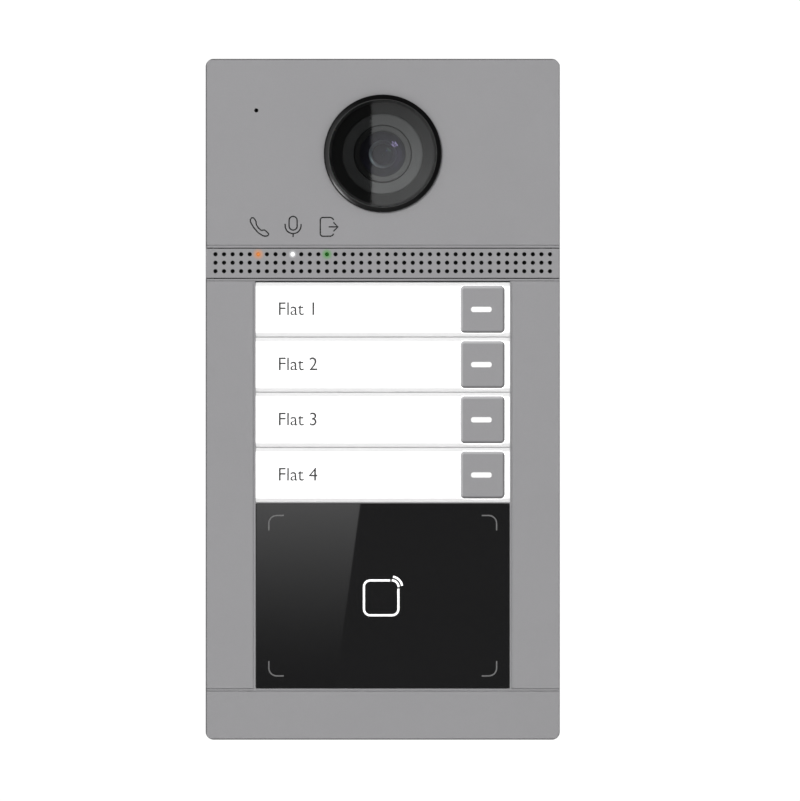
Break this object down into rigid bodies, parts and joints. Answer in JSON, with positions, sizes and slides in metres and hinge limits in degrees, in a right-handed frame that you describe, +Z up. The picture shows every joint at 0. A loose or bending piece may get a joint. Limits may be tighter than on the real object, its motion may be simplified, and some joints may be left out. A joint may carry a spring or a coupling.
{
  "type": "door intercom panel",
  "caption": "Upright wall intercom panel: camera, pierced speaker strip, call buttons beside lit name plates, and a card reader, on a shell that hooks over a wall plate.",
  "frame": {"origin": "centre of the wall plate's back face, which lies on the wall", "axes": "+X to the right as seen from the front, +Z up, +Y into the wall; the panel's front looks along -Y"},
  "size_m": [0.0904, 0.0312, 0.174],
  "materials": {
    "fascia_paint": "satin grey fine powder coat on die-cast metal",
    "grille_paint": "satin grey fine powder coat, perforated",
    "dust_mesh": "black woven acoustic mesh",
    "trim_black": "black moulded ring, satin gloss",
    "camera_glass": "clear flat coated window",
    "seal_rubber": "soft black rubber",
    "baffle_black": "matt black moulding with fine light-trap rings",
    "barrel_black": "anodised black turned barrel",
    "lens_glass": "coated glass",
    "sensor_glass": "sensor under glass",
    "board_green": "solder mask",
    "metal_can": "drawn metal can",
    "light_orange": "lit light pipe",
    "light_white": "lit light pipe",
    "light_green": "lit light pipe",
    "lamp_resin": "clear lamp resin",
    "speaker_black": "glass-filled black plastic",
    "magnet_steel": "plated steel pot",
    "cone_paper": "treated cone paper",
    "foam_black": "closed-cell foam",
    "silicone_grey": "translucent silicone",
    "tray_white": "opal light-spreading plastic",
    "reader_black": "gloss black hard-coated panel",
    "coil_copper": "bare copper track",
    "ferrite_grey": "sintered ferrite sheet",
    "chip_black": "moulded chip packages",
    "connector_cream": "nylon connector bodies",
    "terminal_green": "moulded terminal housing",
    "jack_metal": "plated shield with dark inside",
    "stem_grey": "moulded stem",
    "plunger_black": "acetal pin",
    "spring_steel": "spring wire",
    "shell_black": "fine-textured black plastic",
    "screw_zinc": "zinc-plated steel",
    "plate_zinc": "galvanised sheet steel",
    "screw_black": "stainless, darkened",
    "plate_opal": "opal acrylic, lit from behind",
    "button_grey": "satin grey button cap",
    "bar_white": "lit light bar"
  },
  "bodies": {
    "root": {"antenna_board": "board_green", "antenna_coil": "coil_copper", "backlight_leds": "lamp_resin", "board_chips": "chip_black", "board_connectors": "connector_cream", "board_screws": "screw_zinc", "camera_baffle": "baffle_black", "camera_board": "board_green", "camera_trim_ring": "trim_black", "camera_window": "camera_glass", "camera_window_seal": "seal_rubber", "ferrite_sheet": "ferrite_grey", "front_fascia": "fascia_paint", "grille_mesh": "dust_mesh", "image_sensor": "sensor_glass", "key_board": "board_green", "keypad_mat": "silicone_grey", "label_tray": "tray_white", "lens_barrel": "barrel_black", "lens_front_element": "lens_glass", "lens_inner_element": "lens_glass", "main_board": "board_green", "microphone": "metal_can", "microphone_boot": "seal_rubber", "name_plate_1": "plate_opal", "name_plate_2": "plate_opal", "name_plate_3": "plate_opal", "name_plate_4": "plate_opal", "network_jack": "jack_metal", "reader_window": "reader_black", "rear_shell": "shell_black", "reset_switch": "chip_black", "security_screw": "screw_black", "shell_screws": "screw_zinc", "shell_seal": "seal_rubber", "speaker_basket": "speaker_black", "speaker_gasket": "foam_black", "speaker_grille": "grille_paint", "speaker_magnet": "magnet_steel", "speaker_surround": "seal_rubber", "status_board": "board_green", "status_leds": "lamp_resin", "status_light_call": "light_orange", "status_light_talk": "light_white", "status_light_unlock": "light_green", "tamper_spring": "spring_steel", "tamper_switch": "chip_black", "terminal_block": "terminal_green", "wall_plate": "plate_zinc"},
    "speaker_cone": {"speaker_cone": "cone_paper"},
    "reset_button": {"reset_button": "stem_grey"},
    "tamper_plunger": {"tamper_plunger": "plunger_black"},
    "call_button_1": {"call_button_1": "button_grey", "button_light_bar_1": "bar_white"},
    "call_button_2": {"call_button_2": "button_grey", "button_light_bar_2": "bar_white"},
    "call_button_3": {"call_button_3": "button_grey", "button_light_bar_3": "bar_white"},
    "call_button_4": {"call_button_4": "button_grey", "button_light_bar_4": "bar_white"}
  },
  "joints": [
    {"name": "call_button_1_press", "type": "slide", "parent": "root", "child": "call_button_1", "axis": [0, 1, 0], "range_m": [0, 0.0008], "stiffness_N_per_m": 1200, "springref_m": -0.0005, "deforming": ["keypad_mat"]},
    {"name": "call_button_2_press", "type": "slide", "parent": "root", "child": "call_button_2", "axis": [0, 1, 0], "range_m": [0, 0.0008], "stiffness_N_per_m": 1200, "springref_m": -0.0005, "deforming": ["keypad_mat"]},
    {"name": "call_button_3_press", "type": "slide", "parent": "root", "child": "call_button_3", "axis": [0, 1, 0], "range_m": [0, 0.0008], "stiffness_N_per_m": 1200, "springref_m": -0.0005, "deforming": ["keypad_mat"]},
    {"name": "call_button_4_press", "type": "slide", "parent": "root", "child": "call_button_4", "axis": [0, 1, 0], "range_m": [0, 0.0008], "stiffness_N_per_m": 1200, "springref_m": -0.0005, "deforming": ["keypad_mat"]},
    {"name": "reset_press", "type": "slide", "parent": "root", "child": "reset_button", "axis": [0, -1, 0], "range_m": [0, 0.0003], "stiffness_N_per_m": 2500, "springref_m": -0.0004},
    {"name": "tamper_press", "type": "slide", "parent": "root", "child": "tamper_plunger", "axis": [0, -1, 0], "range_m": [0, 0.0015], "stiffness_N_per_m": 300, "springref_m": -0.001, "deforming": ["tamper_spring"]},
    {"name": "cone_travel", "type": "slide", "parent": "root", "child": "speaker_cone", "axis": [0, -1, 0], "range_m": [-0.0004, 0.0004], "stiffness_N_per_m": 2000, "deforming": ["speaker_surround"]}
  ]
}
